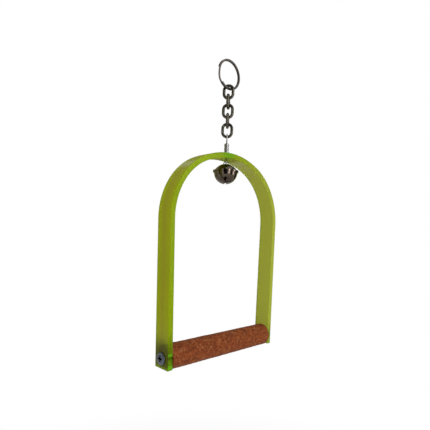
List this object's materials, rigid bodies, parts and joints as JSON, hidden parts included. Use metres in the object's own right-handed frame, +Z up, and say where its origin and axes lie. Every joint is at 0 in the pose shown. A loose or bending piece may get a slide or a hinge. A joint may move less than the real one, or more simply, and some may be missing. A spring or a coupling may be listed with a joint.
{
  "type": "bird swing",
  "caption": "Hanging perch for a cage bird: a bent clear acrylic arch with a rough round perch, a jingle bell under the crown, and a short chain with a split ring.",
  "frame": {"origin": "where the cage's hook bears: the inner top of the split ring", "axes": "+Z up, X along the perch, Y across the strip with the back at +Y"},
  "size_m": [0.1356, 0.0236, 0.2717],
  "materials": {
    "ring_steel": "nickel-plated spring steel",
    "chain_steel": "nickel-plated welded chain",
    "wire_steel": "drawn steel wire, lightly dulled",
    "ferrule_alloy": "crimped sleeve, bare metal",
    "lime_acrylic": "clear lime-green acrylic, polished faces",
    "dowel_wood": "plain turned dowel",
    "perch_grit": "rough reddish-brown mineral grit",
    "screw_steel": "zinc-plated screw",
    "bell_nickel": "dark nickel plate, pressed shells"
  },
  "bodies": {
    "ring": {"hanging_ring": "ring_steel"},
    "link_1": {"chain_link_1": "chain_steel"},
    "link_2": {"chain_link_2": "chain_steel"},
    "link_3": {"chain_link_3": "chain_steel"},
    "link_4": {"chain_link_4": "chain_steel"},
    "link_5": {"chain_link_5": "chain_steel"},
    "hanger": {"hanger_pin": "wire_steel", "stop_ferrule": "ferrule_alloy"},
    "swing": {"arch": "lime_acrylic", "perch_core": "dowel_wood", "perch_sleeve": "perch_grit", "screw_left": "screw_steel", "screw_right": "screw_steel"},
    "bell": {"bell_loop": "wire_steel", "bell_upper_shell": "bell_nickel", "bell_lower_shell": "bell_nickel"},
    "pellet": {"bell_pellet": "wire_steel"}
  },
  "joints": [
    {"name": "link_1_on_ring", "type": "hinge", "parent": "ring", "child": "link_1", "pos_m": [0, 0, -0.02565], "axis": [1, 0, 0], "range_deg": [-45, 45]},
    {"name": "link_2_on_link_1", "type": "hinge", "parent": "link_1", "child": "link_2", "pos_m": [0, 0, -0.03489], "axis": [-0.5736, 0.8192, 0], "range_deg": [-45, 45]},
    {"name": "link_3_on_link_2", "type": "hinge", "parent": "link_2", "child": "link_3", "pos_m": [0, 0, -0.04399], "axis": [-0.8007, -0.599, 0], "range_deg": [-45, 45]},
    {"name": "link_4_on_link_3", "type": "hinge", "parent": "link_3", "child": "link_4", "pos_m": [0, 0, -0.05309], "axis": [0.6239, -0.7815, 0], "range_deg": [-45, 45]},
    {"name": "link_5_on_link_4", "type": "hinge", "parent": "link_4", "child": "link_5", "pos_m": [0, 0, -0.06219], "axis": [0.7615, 0.6481, 0], "range_deg": [-45, 45]},
    {"name": "hanger_on_link_5", "type": "hinge", "parent": "link_5", "child": "hanger", "pos_m": [0, 0, -0.07129], "axis": [-0.6717, 0.7408, 0], "range_deg": [-45, 45]},
    {"name": "swing_swivel", "type": "hinge", "parent": "hanger", "child": "swing", "pos_m": [0, 0, -0.08777], "axis": [0, 0, 1], "continuous": true},
    {"name": "bell_swing", "type": "hinge", "parent": "hanger", "child": "bell", "pos_m": [0, 0, -0.09582], "axis": [-0.7193, -0.6947, 0], "range_deg": [-40, 40]},
    {"name": "pellet_roll", "type": "hinge", "parent": "bell", "child": "pellet", "pos_m": [0, 0, -0.10462], "axis": [-0.7193, -0.6947, 0], "range_deg": [-60, 60]}
  ]
}
